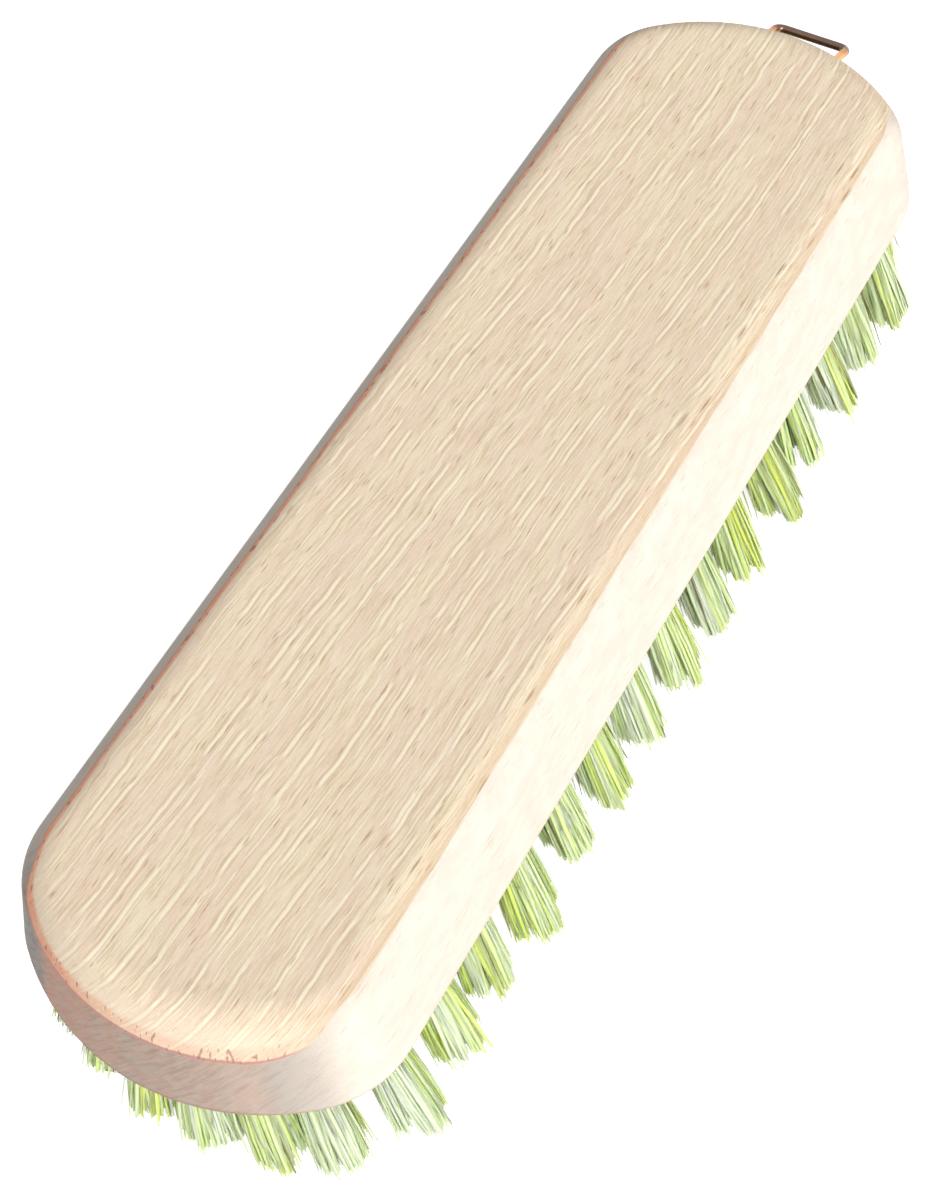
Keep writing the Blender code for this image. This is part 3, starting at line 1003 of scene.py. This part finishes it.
def fibre_points(model, start, bend, tip, disc, chance):
    """The points of the modelled fibre, bent along every curve."""
    along = model[:, 2][None, :, None]
    first, middle, last = start[:, None], bend[:, None], tip[:, None]
    curve = (1 - along) ** 2 * first + 2 * along * (1 - along) * middle + along ** 2 * last
    aside = unit(np.cross(tip - start, disc + chance.normal(0.0, TURNING, tip.shape)))
    outward = unit(np.cross(aside, tip - start))
    thick = FIBRE_RADIUS * chance.uniform(*FIBRE_SIZES, len(start))[:, None, None]
    width = FIBRE_WIDTH * model[:, 0][None, :, None] * aside[:, None]
    depth = FIBRE_DEPTH * model[:, 1][None, :, None] * outward[:, None]
    points = curve + (width - depth) * thick
    points[..., 0] += BLOCK_CENTRE
    points[..., 2] = np.maximum(points[..., 2], 0.0)
    return points


def comb_row(name, roots, count, seed):
    """One mesh of all the fibres of these tufts."""
    chance = np.random.default_rng(seed)
    start, bend, tip, disc, lock_tone = fibre_curves(roots, count, chance)
    model = np.array([vert.co for vert in fibre.data.vertices])
    points = fibre_points(model, start, bend, tip, disc, chance)
    faces = np.array([face.vertices[:] for face in fibre.data.polygons])
    copies = faces[None] + len(model) * np.arange(len(start))[:, None, None]
    mesh = bpy.data.meshes.new(name)
    mesh.from_pydata(points.reshape(-1, 3), [], copies.reshape(-1, 3).tolist())
    mark_points(mesh, "along", np.broadcast_to(model[:, 2], points.shape[:2]))
    tone = LOCK_SHARE * lock_tone + (1 - LOCK_SHARE) * chance.random(len(start))
    tone = np.where(chance.random(len(start)) < DARK_SHARE, DARK_TONE, tone)
    mark_points(mesh, "tone", np.repeat(tone, len(model)))
    lay_map(mesh, len(start))
    row = bpy.data.objects.new(name, mesh)
    bpy.context.scene.collection.objects.link(row)
    print(f"{name}: {len(roots)} tufts, {len(start)} fibres, {len(mesh.polygons)} faces")
    return row


# %% [markdown]
# The rows
#
# The tufts at the edge are seen close to, so they have the most fibres, and their row is combed in four
# quarters to keep each mesh light. The inner tufts show only between them and from below. Each row takes the
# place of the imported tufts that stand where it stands.

# %% Comb all the rows
EDGE_FIBRES = 850
INNER_FIBRES = 300
EDGE_SEED = 21
INNER_SEED = 12
MIDDLE_SEED = 13
SLICE_TUFTS = 6
QUARTERS = ("far_left_bristles", "near_left_bristles", "near_right_bristles", "far_right_bristles")

edge_nodes = sorted(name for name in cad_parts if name.startswith("edge_tuft_"))
row_nodes = sorted(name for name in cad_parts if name.startswith("tuft_row_"))
combed = []
for number, name in enumerate(QUARTERS):
    first = math.ceil(number * len(edge_row) / len(QUARTERS))
    last = math.ceil((number + 1) * len(edge_row) / len(QUARTERS))
    row = comb_row(name, edge_row[first:last], EDGE_FIBRES, EDGE_SEED + number)
    combed.append((row, edge_nodes[first:last]))
inner_slices = math.ceil(len(inner_row) / SLICE_TUFTS)
inner_bristles = comb_row("inner_bristles", inner_row, INNER_FIBRES, INNER_SEED)
combed.append((inner_bristles, row_nodes[:inner_slices]))
middle_bristles = comb_row("middle_bristles", middle_row, INNER_FIBRES, MIDDLE_SEED)
combed.append((middle_bristles, row_nodes[inner_slices:]))
bpy.data.objects.remove(fibre, do_unlink=True)
print("rows:", len(combed))

# %% [markdown]
# Bristle fibre
#
# The fibre is a pale yellow-green. Most strands are mint to lime, some are a strong yellow-green, and a few
# are olive or nearly brown. Each has fine streaks along it and darkens towards its root. Plant fibre lets
# light through, so it has some light under its surface too.

# %% Fibre colour by strand and along its length
MINT = screen_colour(240, 253, 206)
LIME = screen_colour(228, 250, 152)
YELLOW_GREEN = screen_colour(214, 230, 94)
OLIVE = screen_colour(190, 182, 84)
DARK_STRAND = screen_colour(104, 92, 60)
ROOT_SHADE = screen_colour(224, 228, 168)
STREAK_SIZE = (0.5 * MM, 0.5 * MM, 5 * MM)
FIBRE_GLOSS = 0.3
GLOW = 0.8
GLOW_COLOURS = (1.0, 1.0, 0.7)
GLOW_DEPTH = 0.8 * MM


def attribute(tree, name):
    return add_node(tree, "Attribute", {}, attribute_name=name).outputs["Fac"]


def bristle():
    material, tree, shader = new_material("bristle fibre")
    place = add_node(tree, "TexCoord", {}).outputs["Object"]
    streak = noise_at(tree, sized(tree, place, STREAK_SIZE), detail=3.0)
    streaked = weighed(tree, maths(tree, "SUBTRACT", streak, 0.5), 0.3)
    spread = maths(tree, "ADD", attribute(tree, "tone"), streaked)
    colour = tint(tree, MINT, LIME, spread, 0.35, 0.65)
    colour = tint(tree, colour, YELLOW_GREEN, spread, 0.66, 0.90)
    colour = tint(tree, colour, OLIVE, spread, 0.92, 0.98)
    colour = tint(tree, colour, DARK_STRAND, spread, 1.02, 1.08)
    shaded = mix_colours(tree, 0.8, colour, ROOT_SHADE, "MULTIPLY")
    colour = tint(tree, colour, shaded, attribute(tree, "along"), 0.60, 0.10, share=0.7)
    feed(tree, shader.inputs["Base Color"], colour)
    feed(tree, shader.inputs["Roughness"], ranged(tree, streak, to_min=0.38, to_max=0.6))
    shader.inputs["Specular IOR Level"].default_value = FIBRE_GLOSS
    shader.inputs["Subsurface Weight"].default_value = GLOW
    shader.inputs["Subsurface Radius"].default_value = GLOW_COLOURS
    shader.inputs["Subsurface Scale"].default_value = GLOW_DEPTH
    return material


fibre_finish = bristle()
for row, packed in combed:
    show_material(row, fibre_finish)
    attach(row, "root")
    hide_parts(*packed)

# %% [markdown]
# Floor and light
#
# The brush stands on a plain floor. One broad lamp shines over the near right corner: it lights the right
# side most, reaches the near end and its tufts, grazes the top and leaves the rounded edge opposite in
# shade. A dim pale sky softens the shadows. The floor keeps the brush's shadow, and the eye sees it white.

# %% Floor
FLOOR_SIZE = 4.0
FLOOR_GREY = screen_colour(222, 222, 222)
FLOOR_ROUGH = 0.9
FLOOR_LIFT = 0.82
WHITE = (1.0, 1.0, 1.0, 1.0)


def seen_by_eye(tree):
    """1 where the surface is seen, at first hand or in a mirror or glass, and 0 where it only lights."""
    ray = add_node(tree, "LightPath", {})
    seen = maths(tree, "MAXIMUM", ray.outputs["Is Camera Ray"], ray.outputs["Is Glossy Ray"])
    return maths(tree, "MAXIMUM", seen, ray.outputs["Is Transmission Ray"])


def white_floor():
    start_fresh()
    bpy.ops.mesh.primitive_plane_add(size=FLOOR_SIZE, location=(0.0, 0.0, 0.0))
    floor = bpy.context.object
    settle(floor, "floor")
    material, tree, shader = new_material("white floor")
    shader.inputs["Base Color"].default_value = FLOOR_GREY
    shader.inputs["Roughness"].default_value = FLOOR_ROUGH
    shader.inputs["Specular IOR Level"].default_value = 0.0
    shader.inputs["Emission Color"].default_value = WHITE
    feed(tree, shader.inputs["Emission Strength"], weighed(tree, seen_by_eye(tree), FLOOR_LIFT))
    show_material(floor, material)


white_floor()

# %% Lamp and sky
LAMP_DIRECTION = (-0.40, -0.67, 0.63)
LAMP_STRENGTH = 3.7
LAMP_WIDTH = math.radians(40)
SKY_STRENGTH = 0.30


def soft_lamp():
    lamp = bpy.data.lights.new("key lamp", "SUN")
    lamp.energy = LAMP_STRENGTH
    lamp.angle = LAMP_WIDTH
    sun = bpy.data.objects.new("key lamp", lamp)
    sun.rotation_mode = "QUATERNION"
    sun.rotation_quaternion = Vector(LAMP_DIRECTION).to_track_quat("Z", "Y")
    bpy.context.scene.collection.objects.link(sun)
    print("lamp at", LAMP_STRENGTH, "and sky at", SKY_STRENGTH)


def pale_sky():
    world = bpy.data.worlds.new("pale sky")
    bpy.context.scene.world = world
    world.use_nodes = True
    tree = world.node_tree
    sky = tree.nodes["Background"]
    sky.inputs["Color"].default_value = WHITE
    feed(tree, sky.inputs["Strength"], ranged(tree, seen_by_eye(tree), to_min=SKY_STRENGTH, to_max=1.0))


soft_lamp()
pale_sky()
bpy.context.scene.view_settings.view_transform = "Standard"

# %% [markdown]
# The camera
#
# The picture is taken from above the near left end, looking down the brush, with the far end at the top. The
# place and turn of the camera were worked out from the block's corners in the picture.

# %% Place the camera
CAMERA_PLACE = (-0.13945, -0.08484, 0.24534)
CAMERA_TURN = (33.118, 3.311, -60.776)
CAMERA_LENS = 64.35
SENSOR_WIDTH = 36.0
NEAREST = 0.01

camera_data = bpy.data.cameras.new("camera")
camera_data.lens = CAMERA_LENS
camera_data.sensor_width = SENSOR_WIDTH
camera_data.clip_start = NEAREST
camera = bpy.data.objects.new("camera", camera_data)
camera.location = CAMERA_PLACE
camera.rotation_euler = [math.radians(angle) for angle in CAMERA_TURN]
bpy.context.scene.collection.objects.link(camera)
bpy.context.scene.camera = camera
print("camera lens:", CAMERA_LENS, "mm")
